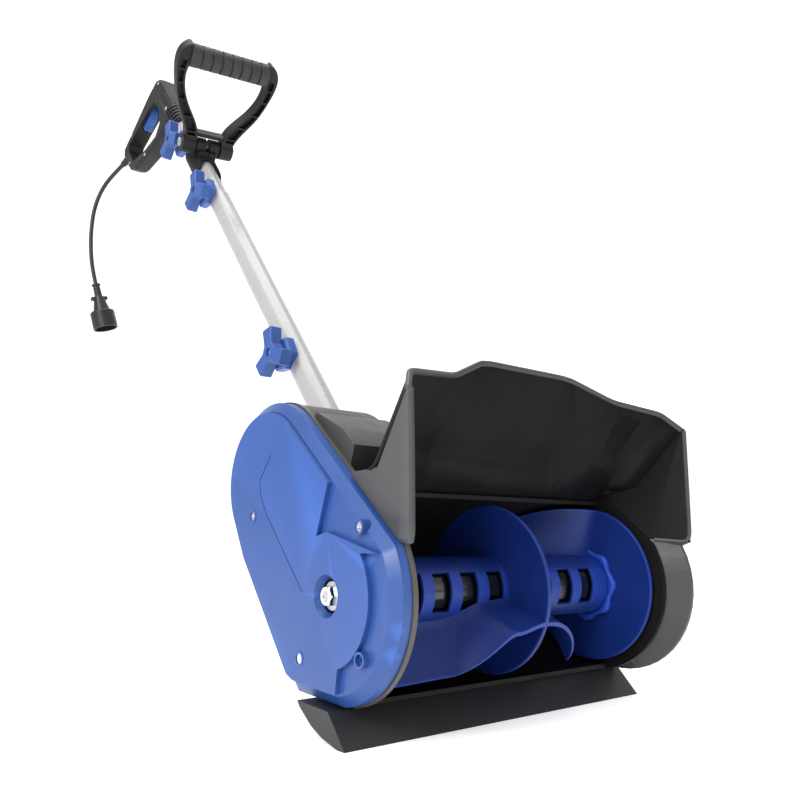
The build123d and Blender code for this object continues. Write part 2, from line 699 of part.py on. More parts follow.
def hinge_bolt():
    bolt = Rot(0, 90, 0) * Cylinder(HINGE_R, 84.0)
    head = Pos(42.2, 0, 0) * Rot(0, 90, 0) * Cylinder(6.5, 3.6)
    nut = Pos(-42.2, 0, 0) * Rot(0, 90, 0) * extrude(RegularPolygon(6.5, 6), amount=1.8, both=True)
    return handle_place() * Pos(0, -HINGE_OUT, 0) * (bolt + head + nut)


# ---------- rear handle ----------

def rounded_prism(points, radius, x0, x1):
    """Outline in the tube's side plane with rounded corners, extruded along X."""
    face = make_face(Polyline(*points, close=True))
    face = fillet(face.vertices(), radius)
    return extrude(TUBE_SIDE.offset(x0) * face, amount=x1 - x0)


def rear_neck():
    """Sleeve round the tube in front of the loop, with curved ribs."""
    neck = rod_s(18.5, NECK_FROM, 800.0)
    for i in range(5):
        neck += rod_s(20.0, NECK_FROM + 4.0 + 11.0 * i, NECK_FROM + 9.0 + 11.0 * i)
    return neck


def rear_shell(side):
    x0, x1 = (0.0, REAR_HALF) if side > 0 else (-REAR_HALF, 0.0)
    shell = rounded_prism(LOOP_OUTER, 9.0, x0, x1)
    face = shell.faces().sort_by(Axis.X)[-1 if side > 0 else 0]
    shell = chamfer(face.edges(), 5.0)
    shell += rear_neck() & Pos(side * 50.0, 700.0, 750.0) * Box(100.0, 400.0, 400.0)
    shell -= rounded_prism(LOOP_INNER, 6.0, -30.0, 30.0)
    shell -= rod_s(INNER_R, NECK_FROM - 1.0, UPPER_TO)
    shell -= prism_x(TRIGGER_ROOM, -7.0, 7.0, TUBE_SIDE)
    shell -= prism_x(SWITCH_ROOM, -11.0, 11.0, TUBE_SIDE)
    shell -= TUBE_SIDE * Pos(LOCK_AT[0], LOCK_AT[1], 15.2) * Cylinder(5.4, 30.0)
    shell -= cord_tunnel()
    return shell


def trigger():
    blade_points = [(857, -37), (864, -37), (867, -50), (870, -86), (853, -90), (845, -84), (841, -60)]
    body = prism_x(blade_points, -6.4, 6.4, TUBE_SIDE)
    body -= TUBE_SIDE * Pos(*TRIGGER_PIVOT, 0) * Cylinder(2.1, 30.0)
    return body


def trigger_pin():
    return TUBE_SIDE * Pos(*TRIGGER_PIVOT, 0) * Cylinder(2.05, 13.9)


def power_switch():
    return prism_x([(869, -50), (873, -50), (881, -86), (877.3, -86)], -10.0, 10.0, TUBE_SIDE)


def lock_button():
    cap = TUBE_SIDE * Pos(LOCK_AT[0], LOCK_AT[1], 12.0) * Cylinder(5.0, 12.0)
    return fillet(cap.edges().filter_by(GeomType.CIRCLE).sort_by(Axis.X)[-1:], 1.5)


def cord_tunnel():
    """Hole along the cord's first run, where the cord leaves the handle's lower end."""
    start = Vector(*CORD_ROUTE[0])
    heading = (Vector(*CORD_ROUTE[1]) - start).normalized()
    place = Plane(origin=start - heading * 22.0, z_dir=heading)
    return place * Pos(0, 0, 20.0) * Cylinder(RELIEF_R, 40.0)


# ---------- cord ----------

def heading(a, b):
    return (Vector(*b) - Vector(*a)).normalized()


def cord_relief():
    """Tapered sleeve round the cord where it leaves the handle."""
    start = Vector(*CORD_ROUTE[0])
    way = heading(CORD_ROUTE[0], CORD_ROUTE[1])
    place = Plane(origin=start - way * 6.0, z_dir=way)
    cone = place * Pos(0, 0, RELIEF_LENGTH / 2) * Cone(RELIEF_R, CORD_R + 1.2, RELIEF_LENGTH)
    hole = place * Pos(0, 0, 0) * Cylinder(CORD_R, 4 * RELIEF_LENGTH)
    return cone - hole


def cord_radii():
    radii = []
    for a, b, c in zip(CORD_ROUTE, CORD_ROUTE[1:], CORD_ROUTE[2:]):
        first = Vector(*b) - Vector(*a)
        second = Vector(*c) - Vector(*b)
        turn = math.radians(first.get_angle(second))
        radii.append(0.45 * min(first.length, second.length) / math.tan(turn / 2))
    return radii


def cord():
    radii = cord_radii()
    print("cord arc radii", [round(r, 1) for r in radii])
    path = FilletPolyline(*CORD_ROUTE, radius=radii)
    end = Plane(origin=CORD_ROUTE[0], z_dir=heading(CORD_ROUTE[0], CORD_ROUTE[1]))
    tube = sweep(end * Circle(CORD_R), path=path)
    ideal = math.pi * CORD_R ** 2 * path.length
    print("cord length", round(path.length, 1), "volume ratio", round(tube.volume / ideal, 4))
    return tube


def plug_place():
    way = heading(CORD_ROUTE[-2], CORD_ROUTE[-1])
    return Plane(origin=CORD_ROUTE[-1], z_dir=way)


def plug_body():
    """Ribbed neck with a collar, tapered body with side tabs, and an open round shroud."""
    neck = Pos(0, 0, PLUG_NECK / 2) * Cone(6.2, 7.2, PLUG_NECK)
    collar = Pos(0, 0, 2.5) * Cylinder(8.0, 3.0)
    for i in range(4):
        neck -= Pos(0, 0, 7.0 + 5.0 * i) * (Cylinder(9.0, 1.6) - Cylinder(5.6, 1.6))
    body = Pos(0, 0, PLUG_NECK + PLUG_BODY / 2) * Cone(9.0, 15.5, PLUG_BODY)
    tabs = Pos(0, 0, PLUG_NECK + 3.0) * Box(30.0, 9.0, 6.0)
    mouth = PLUG_NECK + PLUG_BODY
    shroud = Pos(0, 0, mouth + PLUG_SHROUD / 2) * Cylinder(PLUG_R, PLUG_SHROUD)
    shroud = fillet(shroud.edges().filter_by(GeomType.CIRCLE).sort_by(Axis.Z)[:1], 4.0)
    shroud -= Pos(0, 0, mouth + 6.0 + PLUG_SHROUD / 2) * Cylinder(PLUG_R - 2.5, PLUG_SHROUD)
    return plug_place() * (neck + collar + body + tabs + shroud)


def plug_blades():
    """Two flat blades and a round earth pin inside the shroud."""
    base = PLUG_NECK + PLUG_BODY + 6.0
    blades = [plug_place() * Pos(x, 3.0, base + 9.0) * Box(1.5, 6.3, 18.0) for x in (-6.35, 6.35)]
    pin = plug_place() * Pos(0, -8.0, base + 10.0) * Cylinder(2.4, 20.0)
    return blades + [pin]


# ---------- write the files ----------

def model():
    pieces = {
        "scoop_trough": scoop_trough(),
        "hood_back": hood_back(),
        "hood_cheek_left": hood_cheek(-1),
        "hood_cheek_right": hood_cheek(1),
        "side_plate_left": side_plate_left(),
        "side_plate_right": side_plate_right(),
        "side_skirt_right": side_skirt_right(),
        "scraper_bar": scraper_bar(),
        "scraper_screws": scraper_screws(),
        "auger_left_half": auger_left_half(),
        "auger_right_half": auger_right_half(),
        "auger_core": auger_core(),
        "auger_shaft": auger_shaft(),
        "auger_nut": auger_nut(),
        "auger_washer": auger_washer(),
        "auger_pulley": auger_pulley(),
        "bearing_left": bearing(-1),
        "bearing_right": bearing(1),
        "bearing_cap": bearing_cap(),
        "belt_cover": belt_cover(),
        "belt_cover_screws": cover_screws(),
        "drive_belt": drive_belt(),
        "motor_pulley": v_pulley(MOTOR_Y, MOTOR_Z, MOTOR_PULLEY_R, BELT_X0 - FLANGE, BELT_X1 + FLANGE, MOTOR_SHAFT_R),
        "motor_shaft": motor_shaft(),
        "motor_armature": armature(),
        "cooling_fan": cooling_fan(),
        "motor_can": motor_can(),
        "motor_housing": motor_housing(),
        "motor_end_cover": motor_end_cover(),
        "tube_socket": tube_socket(),
        "socket_screws": socket_screws(),
        "stub_tube": stub_tube(),
        "main_tube": main_tube(),
        "upper_tube": upper_tube(),
        "handle_clamp": handle_clamp(),
        "handle_frame": handle_frame(),
        "handle_grip": handle_grip(),
        "hinge_bolt": hinge_bolt(),
        "rear_shell_left": rear_shell(-1),
        "rear_shell_right": rear_shell(1),
        "trigger": trigger(),
        "trigger_pin": trigger_pin(),
        "power_switch": power_switch(),
        "lock_button": lock_button(),
        "cord_relief": cord_relief(),
        "cord": cord(),
        "plug_body": plug_body(),
        "plug_blades": plug_blades(),
    }
    bolt_ends = (-8.0, -INNER_R - 0.3, -8.0)
    tube_radii = (MAIN_R, MAIN_R, INNER_R)
    for i, name in enumerate(("lower", "middle", "upper")):
        pieces[name + "_knob"] = knob(KNOB_AT[i], KNOB_FACE_X[i])
        pieces[name + "_knob_bolt"] = knob_bolt(KNOB_AT[i], KNOB_FACE_X[i], bolt_ends[i])
        pieces[name + "_knob_seat"] = knob_seat(KNOB_AT[i], tube_radii[i])
    return pieces


os.makedirs("parts", exist_ok=True)
for name, shape in model().items():
    solids = shape if isinstance(shape, list) else [shape]
    placed = [Pos(0, AXLE_Y, AXLE_Z) * piece for piece in solids]
    if len(placed) == 1:
        export_step(placed[0], "parts/" + name + ".step")
    else:
        export_step(Compound(children=placed), "parts/" + name + ".step")
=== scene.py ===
import bpy
import bmesh
import math
from mathutils import Matrix, Vector


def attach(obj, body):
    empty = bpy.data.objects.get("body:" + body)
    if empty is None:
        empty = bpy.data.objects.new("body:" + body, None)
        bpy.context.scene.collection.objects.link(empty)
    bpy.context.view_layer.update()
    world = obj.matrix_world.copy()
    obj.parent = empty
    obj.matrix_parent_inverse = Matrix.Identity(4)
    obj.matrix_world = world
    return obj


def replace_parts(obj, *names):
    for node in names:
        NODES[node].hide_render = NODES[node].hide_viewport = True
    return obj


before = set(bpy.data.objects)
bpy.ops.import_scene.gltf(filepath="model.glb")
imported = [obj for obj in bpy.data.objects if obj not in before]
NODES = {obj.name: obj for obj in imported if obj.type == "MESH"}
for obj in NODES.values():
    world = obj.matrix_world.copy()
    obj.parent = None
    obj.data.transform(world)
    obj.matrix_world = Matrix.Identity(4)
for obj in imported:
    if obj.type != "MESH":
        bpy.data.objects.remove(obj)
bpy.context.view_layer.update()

# The auger's axle, and the shaft tube's start and directions, in metres.
AXLE = Vector((0.0, 0.025, 0.101))
TUBE0 = AXLE + Vector((0.0, 0.264, 0.198))
RISE = math.radians(50.7)
ALONG = Vector((0.0, math.cos(RISE), math.sin(RISE)))
FRONT = Vector((0.0, -math.sin(RISE), math.cos(RISE)))
SIDEWAYS = Vector((1.0, 0.0, 0.0))


def mm(x, y, z):
    """A point given about the auger's axle, in millimetres."""
    return AXLE + Vector((x, y, z)) / 1000.0


def on_tube(s, n=0.0, x=0.0):
    """A point along the tube (s), out from it (n) and across it (x), in millimetres."""
    return TUBE0 + (ALONG * s + FRONT * n + SIDEWAYS * x) / 1000.0


# ---------- camera ----------

# Where the camera stands, in metres, its right-hand and forward directions, and its lens in millimetres.
CAMERA_PLACE = Vector((-0.4916, -0.4632, 0.1394))
CAMERA_RIGHT = Vector((0.7765, -0.6301, 0.0))
CAMERA_AHEAD = Vector((0.62, 0.7641, 0.1783))
SENSOR, LENS = 36.0, 35.355


def make_camera():
    data = bpy.data.cameras.new("camera")
    data.sensor_width = SENSOR
    data.lens = LENS
    data.clip_start = 0.01
    data.clip_end = 100.0
    cam = bpy.data.objects.new("camera", data)
    right = CAMERA_RIGHT.normalized()
    ahead = CAMERA_AHEAD.normalized()
    up = right.cross(ahead).normalized()
    turn = Matrix((right, up, -ahead)).transposed().to_4x4()
    cam.matrix_world = Matrix.Translation(CAMERA_PLACE) @ turn
    bpy.context.scene.collection.objects.link(cam)
    bpy.context.scene.camera = cam


make_camera()

# ---------- cord ----------

CORD_POINTS = [
    (0.0, 954.8, 781.4), (-18.0, 993.0, 756.0), (-32.2, 1016.6, 726.6), (-41.3, 1025.8, 686.1),
    (-42.5, 1030.4, 640.1), (-39.7, 1030.8, 598.4), (-34.8, 1028.6, 563.1), (-27.5, 1025.8, 534.4),
]
CORD_DIAMETER = 0.0075


def make_cord():
    data = bpy.data.curves.new("cord_line", "CURVE")
    data.dimensions = "3D"
    spline = data.splines.new("NURBS")
    spline.points.add(len(CORD_POINTS) - 1)
    for point, place in zip(spline.points, CORD_POINTS):
        point.co = (*mm(*place), 1.0)
        point.radius = CORD_DIAMETER / 2
    spline.order_u = 3
    spline.use_endpoint_u = True
    spline.resolution_u = 12
    data.bevel_depth = 1.0
    data.bevel_resolution = 6
    data.use_fill_caps = True
    cord = bpy.data.objects.new("cord_lead", data)
    bpy.context.scene.collection.objects.link(cord)
    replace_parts(cord, "cord")
    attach(cord, "upper_shaft")
    return cord


cord_lead = make_cord()

# ---------- materials ----------

def shader(name):
    mat = bpy.data.materials.new(name)
    mat.use_nodes = True
    tree = mat.node_tree
    return mat, tree, tree.nodes["Principled BSDF"]


def noise(tree, scale, detail=4.0, rough=0.6, stretch=None):
    coords = tree.nodes.new("ShaderNodeTexCoord")
    out = coords.outputs["Object"]
    if stretch:
        mapping = tree.nodes.new("ShaderNodeMapping")
        mapping.inputs["Scale"].default_value = stretch
        tree.links.new(out, mapping.inputs["Vector"])
        out = mapping.outputs["Vector"]
    tex = tree.nodes.new("ShaderNodeTexNoise")
    tex.inputs["Scale"].default_value = scale
    tex.inputs["Detail"].default_value = detail
    tex.inputs["Roughness"].default_value = rough
    tree.links.new(out, tex.inputs["Vector"])
    return tex.outputs["Fac"]


def ramp(tree, source, low, high, start=0.3, stop=0.7):
    node = tree.nodes.new("ShaderNodeValToRGB")
    node.color_ramp.elements[0].position = start
    node.color_ramp.elements[1].position = stop
    node.color_ramp.elements[0].color = low
    node.color_ramp.elements[1].color = high
    tree.links.new(source, node.inputs["Fac"])
    return node.outputs["Color"]


def spread(tree, source, low, high, start=0.3, stop=0.7):
    node = tree.nodes.new("ShaderNodeMapRange")
    node.inputs["From Min"].default_value = start
    node.inputs["From Max"].default_value = stop
    node.inputs["To Min"].default_value = low
    node.inputs["To Max"].default_value = high
    tree.links.new(source, node.inputs["Value"])
    return node.outputs["Result"]


def edge_wear(tree):
    """Bright on sharp outward edges, from the pointiness of the surface."""
    geometry = tree.nodes.new("ShaderNodeNewGeometry")
    return spread(tree, geometry.outputs["Pointiness"], 0.0, 1.0, 0.515, 0.60)


# The Mix node's colour sockets by place, because its number and vector sockets share their names.
MIX_A, MIX_B, MIX_RESULT = 6, 7, 2


def blend_colour(tree, factor, a, b):
    node = tree.nodes.new("ShaderNodeMix")
    node.data_type = "RGBA"
    tree.links.new(factor, node.inputs["Factor"])
    for socket, value in ((node.inputs[MIX_A], a), (node.inputs[MIX_B], b)):
        if isinstance(value, (tuple, list)):
            socket.default_value = value
        else:
            tree.links.new(value, socket)
    return node.outputs[MIX_RESULT]


def bump(tree, bsdf, source, strength, distance):
    node = tree.nodes.new("ShaderNodeBump")
    node.inputs["Strength"].default_value = strength
    node.inputs["Distance"].default_value = distance
    tree.links.new(source, node.inputs["Height"])
    tree.links.new(node.outputs["Normal"], bsdf.inputs["Normal"])


def scaled(colour, k):
    """The colour times k, with full alpha."""
    return (colour[0] * k, colour[1] * k, colour[2] * k, 1.0)


def plastic(name, colour, rough=(0.32, 0.44), grain=0.10, coat=0.0, wear=1.8, ior=1.5):
    """Moulded plastic: fine pebble grain, faint flow marks, uneven sheen and paler edges."""
    mat, tree, bsdf = shader(name)
    flow = noise(tree, 9.0, 3.0)
    body = ramp(tree, flow, scaled(colour, 0.90), scaled(colour, 1.08))
    bsdf_colour = blend_colour(tree, edge_wear(tree), body, scaled(colour, wear))
    tree.links.new(bsdf_colour, bsdf.inputs["Base Color"])
    handling = noise(tree, 38.0, 5.0)
    tree.links.new(spread(tree, handling, rough[0], rough[1]), bsdf.inputs["Roughness"])
    bump(tree, bsdf, noise(tree, 2600.0, 2.0), grain, 0.0001)
    bsdf.inputs["IOR"].default_value = ior
    bsdf.inputs["Coat Weight"].default_value = coat
    bsdf.inputs["Coat Roughness"].default_value = 0.18
    return mat


def metal(name, colour, rough, scale, stretch=(1.0, 1.0, 1.0)):
    """Turned or plated metal with fine marks along one direction."""
    mat, tree, bsdf = shader(name)
    marks = noise(tree, scale, 3.0, stretch=stretch)
    tree.links.new(ramp(tree, marks, scaled(colour, 0.8), scaled(colour, 1.05)), bsdf.inputs["Base Color"])
    tree.links.new(spread(tree, marks, rough[0], rough[1]), bsdf.inputs["Roughness"])
    bsdf.inputs["Metallic"].default_value = 1.0
    bump(tree, bsdf, marks, 0.05, 0.0001)
    return mat


def powder_coat(name, colour):
    """Sprayed enamel on tube: orange peel, a soft clear sheen and a few faint scuffs."""
    mat, tree, bsdf = shader(name)
    cloud = noise(tree, 14.0, 3.0)
    body = ramp(tree, cloud, scaled(colour, 0.96), scaled(colour, 1.02))
    marks = noise(tree, 60.0, 8.0, 0.75, stretch=(1.0, 0.25, 0.25))
    scuff = spread(tree, marks, 0.0, 0.10, 0.62, 0.78)
    tree.links.new(blend_colour(tree, scuff, body, scaled(colour, 0.82)), bsdf.inputs["Base Color"])
    tree.links.new(spread(tree, noise(tree, 50.0, 4.0), 0.24, 0.34), bsdf.inputs["Roughness"])
    bump(tree, bsdf, noise(tree, 1100.0, 2.0), 0.12, 0.00012)
    bsdf.inputs["Coat Weight"].default_value = 0.3
    bsdf.inputs["Coat Roughness"].default_value = 0.12
    return mat


def rubber(name, colour, rough=(0.5, 0.68), grain=0.25):
    """Matt rubber with a coarser grain, paler edges and a slight sheen."""
    mat, tree, bsdf = shader(name)
    body = ramp(tree, noise(tree, 30.0, 5.0), scaled(colour, 0.8), scaled(colour, 1.25))
    tree.links.new(blend_colour(tree, edge_wear(tree), body, scaled(colour, 2.2)), bsdf.inputs["Base Color"])
    tree.links.new(spread(tree, noise(tree, 90.0, 4.0), rough[0], rough[1]), bsdf.inputs["Roughness"])
    bump(tree, bsdf, noise(tree, 1800.0, 3.0), grain, 0.0001)
    bsdf.inputs["Sheen Weight"].default_value = 0.08
    return mat


BLUE = (0.020, 0.070, 0.27)
DEEP_BLUE = (0.006, 0.024, 0.17)
MATS = {
    "cover_blue": plastic("cover_blue", BLUE, (0.34, 0.46), grain=0.10, coat=0.05, wear=1.5),
    "auger_blue": plastic("auger_blue", DEEP_BLUE, (0.36, 0.48), grain=0.06, wear=3.2, ior=1.42),
    "scoop_black": plastic("scoop_black", (0.0030, 0.0026, 0.0028), (0.52, 0.64),
                           grain=0.12, wear=3.0, ior=1.28),
    "rim_grey": plastic("rim_grey", (0.038, 0.037, 0.038), (0.36, 0.48), grain=0.10, wear=1.6),
    # Painted light: the left cheek is a paler grey than the same black moulding on the right. The paler grey
    # stands in for the key light that falls on the left side.
    "painted_lit_left_cheek": plastic("painted_lit_left_cheek", (0.044, 0.044, 0.043), (0.36, 0.48), grain=0.12, wear=2.2),
    "skirt_grey": plastic("skirt_grey", (0.016, 0.0155, 0.016), (0.36, 0.48), grain=0.12, wear=2.6),
    "housing_grey": plastic("housing_grey", (0.028, 0.028, 0.027), (0.38, 0.52), grain=0.14, wear=2.0),
    # Painted light: the left side plate has a paler warm tone than its black twin on the right. The paler
    # tone stands in for the key light that falls on the left side.
    "painted_lit_left_plate": plastic("painted_lit_left_plate", (0.060, 0.053, 0.047), (0.32, 0.42), grain=0.08, coat=0.1, wear=1.8),
    "scraper_black": plastic("scraper_black", (0.010, 0.0095, 0.010), (0.40, 0.52), grain=0.14, wear=3.0),
    "gloss_black": plastic("gloss_black", (0.004, 0.004, 0.004), (0.10, 0.16),
                           grain=0.03, coat=0.6, wear=2.0),
    "handle_black": plastic("handle_black", (0.0055, 0.0055, 0.006), (0.46, 0.60),
                            grain=0.18, wear=2.6, ior=1.38),
    "tube_white": powder_coat("tube_white", (0.37, 0.365, 0.36)),
    "bright": metal("bright", (0.86, 0.87, 0.88), (0.08, 0.18), 300.0),
    "zinc": metal("zinc", (0.62, 0.63, 0.64), (0.24, 0.40), 250.0),
    "brass": metal("brass", (0.80, 0.62, 0.30), (0.16, 0.30), 300.0),
    "stack": metal("stack", (0.30, 0.24, 0.20), (0.35, 0.5), 60.0, (40.0, 1.0, 1.0)),
    "acetal": plastic("acetal", (0.55, 0.55, 0.52), (0.3, 0.4), grain=0.05, wear=1.05),
    "grip_rubber": rubber("grip_rubber", (0.013, 0.013, 0.013)),
    "cord_rubber": rubber("cord_rubber", (0.006, 0.006, 0.006), (0.34, 0.46), 0.15),
    "belt_rubber": rubber("belt_rubber", (0.012, 0.012, 0.012)),
}

WEARS = {
    "cover_blue": ["belt_cover", "motor_end_cover", "lower_knob", "middle_knob", "upper_knob",
                   "lower_knob_seat", "middle_knob_seat", "upper_knob_seat", "trigger"],
    "auger_blue": ["auger_left_half", "auger_right_half"],
    "scoop_black": ["scoop_trough", "hood_back", "hood_cheek_right", "side_plate_right", "bearing_cap",
                    "tube_socket", "auger_pulley", "cooling_fan", "power_switch"],
    # Painted light: the left cheek and left side plate wear paler materials than their twins on the right,
    # as if lit from the left.
    "painted_lit_left_cheek": ["hood_cheek_left"],
    "painted_lit_left_plate": ["side_plate_left"],
    "skirt_grey": ["side_skirt_right"],
    "housing_grey": ["motor_housing"],
    "scraper_black": ["scraper_bar"],
    "gloss_black": ["auger_core"],
    "handle_black": ["handle_clamp", "handle_frame", "rear_shell_left", "rear_shell_right", "lock_button"],
    "grip_rubber": ["handle_grip"],
    "tube_white": ["main_tube", "upper_tube"],
    "bright": ["auger_nut", "belt_cover_screws", "lower_knob_bolt", "middle_knob_bolt", "upper_knob_bolt"],
    "zinc": ["auger_shaft", "auger_washer", "scraper_screws", "socket_screws", "stub_tube", "motor_can",
             "motor_shaft", "motor_pulley", "hinge_bolt", "trigger_pin"],
    "brass": ["plug_blades"],
    "stack": ["motor_armature"],
    "acetal": ["bearing_left", "bearing_right"],
    "belt_rubber": ["drive_belt"],
    "cord_rubber": ["plug_body", "cord_relief", "cord"],
}


def dress():
    for name, nodes in WEARS.items():
        for node in nodes:
            data = NODES[node].data
            data.materials.clear()
            data.materials.append(MATS[name])
    cord_lead.data.materials.append(MATS["cord_rubber"])


# Rounded moulding edges: node names by edge radius in millimetres.
ROUNDED = {
    0.9: ["belt_cover", "rear_shell_left", "rear_shell_right", "handle_frame", "motor_end_cover"],
    0.6: ["hood_cheek_left", "hood_cheek_right", "side_plate_left", "side_plate_right",
          "motor_housing", "scraper_bar", "lower_knob", "middle_knob", "upper_knob",
          "lower_knob_seat", "middle_knob_seat", "upper_knob_seat", "handle_clamp", "handle_grip",
          "plug_body", "tube_socket", "trigger"],
    0.25: ["auger_nut", "auger_washer", "belt_cover_screws", "plug_blades", "hinge_bolt", "auger_pulley"],
}


# Corners sharper than this, in degrees, are rounded.
ROUND_ABOVE = 28.0
# Vertices within this distance, in metres, are welded, and faces within this angle, in degrees, joined.
WELD_WITHIN, JOIN_WITHIN = 0.00002, 0.5


def soften():
    """Joins the flat faces and rounds the edges of the moulded pieces."""
    for radius, nodes in ROUNDED.items():
        for node in nodes:
            piece = NODES[node]
            weld = piece.modifiers.new("weld", "WELD")
            weld.merge_threshold = WELD_WITHIN
            flat = piece.modifiers.new("flat", "DECIMATE")
            flat.decimate_type = "DISSOLVE"
            flat.angle_limit = math.radians(JOIN_WITHIN)
            edge = piece.modifiers.new("edge", "BEVEL")
            edge.width = radius / 1000.0
            edge.segments = 2
            edge.limit_method = "ANGLE"
            edge.angle_limit = math.radians(ROUND_ABOVE)
            edge.harden_normals = True
            edge.use_clamp_overlap = True
            shade = piece.modifiers.new("shade", "WEIGHTED_NORMAL")
            shade.weight = 90
            shade.keep_sharp = True
            for face in piece.data.polygons:
                face.use_smooth = True


dress()
soften()

# ---------- pieces built here ----------

def new_piece(name, bm, material, body):
    """Turns a bmesh into a piece that rides on a body."""
    mesh = bpy.data.meshes.new(name)
    bmesh.ops.recalc_face_normals(bm, faces=bm.faces)
    bm.to_mesh(mesh)
    bm.free()
    for face in mesh.polygons:
        face.use_smooth = True
    mesh.materials.append(MATS[material])
    piece = bpy.data.objects.new(name, mesh)
    bpy.context.scene.collection.objects.link(piece)
    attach(piece, body)
    return piece


def rounded(points, rounds=3, keep=0.22):
    """The points of a line with its corners cut again and again."""
    points = [Vector(p) for p in points]
    for _ in range(rounds):
        line = [points[0]]
        for a, b in zip(points, points[1:]):
            line += [a.lerp(b, keep), a.lerp(b, 1.0 - keep)]
        points = line + [points[-1]]
    return points


def sweep(bm, path, radius, sides=10, flat=1.0, across=SIDEWAYS):
    """A capped round or oval bar along a line of points."""
    rings = []
    for i, point in enumerate(path):
        ahead = (path[min(i + 1, len(path) - 1)] - path[max(i - 1, 0)]).normalized()
        u = (across - ahead * across.dot(ahead)).normalized()
        v = ahead.cross(u)
        ring = []
        for k in range(sides):
            turn = 2.0 * math.pi * k / sides
            ring.append(bm.verts.new(point + u * radius * math.cos(turn)
                                     + v * radius * flat * math.sin(turn)))
        rings.append(ring)
    for a, b in zip(rings, rings[1:]):
        for k in range(sides):
            bm.faces.new((a[k], a[(k + 1) % sides], b[(k + 1) % sides], b[k]))
    bm.faces.new(list(reversed(rings[0])))
    bm.faces.new(rings[-1])


def lathe(bm, profile, place, axis, sides=32):
    """Turns (radius, height) pairs round an axis that starts at place; ends with radius 0 close it."""
    axis = axis.normalized()
    u = axis.orthogonal().normalized()
    v = axis.cross(u)
    rings = []
    for radius, height in profile:
        centre = place + axis * height
        if radius == 0.0:
            rings.append([bm.verts.new(centre)])
            continue
        rings.append([bm.verts.new(centre + (u * math.cos(t) + v * math.sin(t)) * radius)
                      for t in (2.0 * math.pi * k / sides for k in range(sides))])
    for a, b in zip(rings, rings[1:]):
        for k in range(sides):
            n = (k + 1) % sides
            if len(a) == 1:
                bm.faces.new((a[0], b[n], b[k]))
            elif len(b) == 1:
                bm.faces.new((a[k], a[n], b[0]))
            else:
                bm.faces.new((a[k], a[n], b[n], b[k]))


# The hood's folds from its rim (first) down to the trough, about the axle in millimetres.
HOOD_ROWS = [
    [(-163.0, -93.0, 139.0), (-155.5, -46.0, 90.0), (-148.5, -10.0, 83.0)],
    [(-152.0, -82.0, 154.0), (-140.0, -30.0, 98.0), (-137.0, -8.0, 76.0)],
    [(-84.0, -55.0, 164.0), (-92.0, -20.0, 112.0), (-90.0, -8.0, 76.0)],
    [(-53.0, -55.0, 179.0), (-70.0, -8.0, 114.0), (-72.0, -8.0, 76.0)],
    [(52.0, -55.0, 179.0), (72.0, -12.0, 108.0), (74.0, -8.0, 76.0)],
    [(115.0, -56.0, 165.0), (98.0, -36.0, 108.0), (96.0, -8.0, 76.0)],
    [(150.0, -82.0, 154.0), (140.0, -30.0, 97.0), (137.0, -8.0, 76.0)],
    [(163.0, -95.0, 139.0), (152.5, -48.0, 88.0), (148.5, -10.0, 83.0)],
]
# The sheet's thickness as an offset, the width of its folds and its lip's radius, in metres.
HOOD_WALL = Vector((0.0, 0.0029, 0.0021))
FOLD_WIDTH, LIP_RADIUS, CHEEK_EDGE = 0.0055, 0.0026, 0.0021


def make_hood():
    """The hood as one moulded sheet with soft folds, and the thick lip round its rim."""
    bm = bmesh.new()
    grid = [[bm.verts.new(mm(*p)) for p in row] for row in HOOD_ROWS]
    for a, b in zip(grid, grid[1:]):
        for j in range(2):
            bm.faces.new((a[j], a[j + 1], b[j + 1], b[j]))
    bmesh.ops.bevel(bm, geom=[e for e in bm.edges if not e.is_boundary], offset=FOLD_WIDTH, segments=4,
                    profile=0.5, affect="EDGES", clamp_overlap=True)
    bmesh.ops.triangulate(bm, faces=[f for f in bm.faces if len(f.verts) > 4])
    shell = {v: bm.verts.new(v.co + HOOD_WALL) for v in list(bm.verts)}
    edges = [e for e in bm.edges if e.is_boundary]
    for face in list(bm.faces):
        bm.faces.new([shell[v] for v in reversed(face.verts)])
    for edge in edges:
        a, b = edge.verts
        bm.faces.new((a, b, shell[b], shell[a]))
    hood = new_piece("hood_shell", bm, "scoop_black", "base")
    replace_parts(hood, "hood_back")
    lip = bmesh.new()
    rim = rounded([mm(*row[0]) + HOOD_WALL * 0.5 for row in HOOD_ROWS], 3, 0.08)
    sweep(lip, rim, LIP_RADIUS, 12, 0.9, Vector((0.0, 0.0, 1.0)))
    new_piece("hood_lip", lip, "rim_grey", "base")


def make_cheek_edges():
    """Rolled front edges of the two flared cheeks."""
    for side, name in ((-1.0, "left"), (1.0, "right")):
        bm = bmesh.new()
        path = rounded([mm(side * 163.8, -95.5, 139.5), mm(side * 163.0, -95.6, 90.0),
                        mm(side * 162.6, -95.2, 38.5), mm(side * 150.0, -67.5, 41.0)], 3, 0.12)
        sweep(bm, path, CHEEK_EDGE, 10)
        new_piece("cheek_edge_" + name, bm, "rim_grey", "base")


# The auger, about its axle in millimetres: radii, disc places and the paddles' angles.
REACH = 70.0
CAGE_OUT, CAGE_IN = 27.0, 24.0
DISC_AT, DISC_HALF, DISC_RIM = 138.0, 1.5, 1.9
PITCH, WINDOW_HALF, WINDOW_ANGLE = 29.4, 8.75, 35.3
LEFT_PADDLE = [(-138.0, -66.0), (-75.0, -60.0), (-30.0, -26.0), (0.0, -21.0)]
RIGHT_PADDLE = [(1.6, 160.0), (60.0, 122.0), (138.0, 80.0)]
TAIL, TAIL_CURL, CURL_POWER = 60.0, 39.0, 2.6
# Half a paddle's thickness, what its rim and its root add to that, and how deep those two reach.
PADDLE_HALF, RIM_ADDS, ROOT_ADDS = 1.45, 0.35, 2.2
RIM_DEPTH, ROOT_DEPTH = 3.0, 6.0
# Windows in each half of the tube, and the faces across a window and between two of them.
WINDOWS, FAN_STEPS, GAP_STEPS = 4, 8, 12


